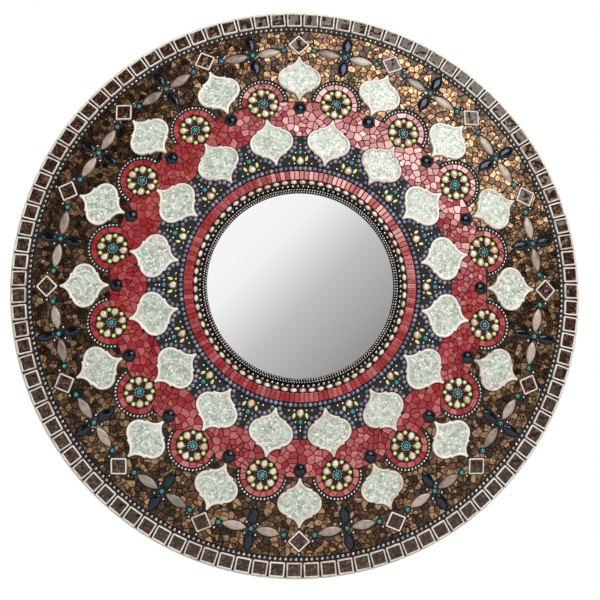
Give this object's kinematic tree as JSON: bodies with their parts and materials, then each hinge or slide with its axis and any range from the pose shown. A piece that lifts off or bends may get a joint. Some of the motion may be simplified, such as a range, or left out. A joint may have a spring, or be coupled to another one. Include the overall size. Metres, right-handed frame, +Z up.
{
  "type": "round wall mirror",
  "caption": "Round wall mirror set in a wide domed frame of glass and ceramic mosaic, hung on two hinged rings.",
  "frame": {"origin": "on the wall plane, behind the middle of the mirror", "axes": "front faces -Y, +Y points into the wall, +Z is up, +X is to the right seen from the front"},
  "size_m": [0.7619, 0.08, 0.762],
  "materials": {
    "fibreboard": "moulded fibreboard, matt",
    "edge_glaze": "pale green-white crackle glaze",
    "cement": "dark grout and adhesive cement, matt",
    "plywood": "bare plywood, sanded",
    "zinc_steel": "zinc plated",
    "bumper_rubber": "matt",
    "foam_tape": "foam adhesive pad",
    "silvered_glass": "polished, silvered at the back",
    "dark_metal": "dark satin",
    "silver_balls": "bright plated balls",
    "bronze_balls": "aged bronze plating",
    "pearl": "pearl-coated glass, glossy",
    "red_glass": "opaque stained glass, glossy",
    "lilac_glass": "opaque glass beads",
    "ivory_ceramic": "ivory glaze",
    "crackle_glass": "pooled crackle glass over pale glaze",
    "brown_crackle": "pooled crackle glass over brown glaze",
    "gunmetal": "dark plated beads",
    "black_glass": "opaque, polished",
    "gilt_setting": "rose gilt",
    "turquoise_glass": "opaque glass beads",
    "green_glass": "clear green over foil",
    "taupe_ceramic": "taupe glaze",
    "amber_glass": "iridescent brown stained glass"
  },
  "bodies": {
    "frame": {"domed_form": "fibreboard", "edge_band": "edge_glaze", "cement_bed": "cement", "back_panel": "plywood", "back_panel_screws": "zinc_steel", "wall_bumpers": "bumper_rubber", "left_hanger_strap": "zinc_steel", "right_hanger_strap": "zinc_steel", "hanger_screws": "zinc_steel", "mirror_pads": "foam_tape", "mirror_glass": "silvered_glass", "bezel_ring": "dark_metal", "fine_chain_inner": "silver_balls", "fine_chain_outer": "silver_balls", "bronze_chain": "bronze_balls", "pearl_ring_beads": "pearl", "red_edging_tesserae": "red_glass", "lilac_ring_beads": "lilac_glass", "inner_lantern_tiles": "ivory_ceramic", "inner_lantern_glass": "crackle_glass", "outer_lantern_tiles": "ivory_ceramic", "outer_lantern_glass": "crackle_glass", "diamond_tile_borders": "ivory_ceramic", "diamond_tile_glass": "brown_crackle", "rim_tile_borders": "ivory_ceramic", "rim_tile_glass": "brown_crackle", "rim_beads": "gunmetal", "black_cabochons": "black_glass", "drop_settings": "gilt_setting", "pearl_drops": "pearl", "flower_eyes": "turquoise_glass", "flower_seed_beads": "silver_balls", "green_gems": "green_glass", "green_leaves": "green_glass", "silver_beads": "silver_balls", "turquoise_beads": "turquoise_glass", "black_petals": "black_glass", "taupe_petals": "taupe_ceramic", "red_field_tesserae": "red_glass", "brown_field_tesserae": "amber_glass"},
    "left_ring": {"left_hanger_ring": "zinc_steel"},
    "right_ring": {"right_hanger_ring": "zinc_steel"}
  },
  "joints": [
    {"name": "left_ring_swing", "type": "hinge", "parent": "frame", "child": "left_ring", "pos_m": [-0.185, -0.0043, 0.16], "axis": [-1, 0, 0], "range_deg": [0, 180]},
    {"name": "right_ring_swing", "type": "hinge", "parent": "frame", "child": "right_ring", "pos_m": [0.185, -0.0043, 0.16], "axis": [-1, 0, 0], "range_deg": [0, 180]}
  ]
}
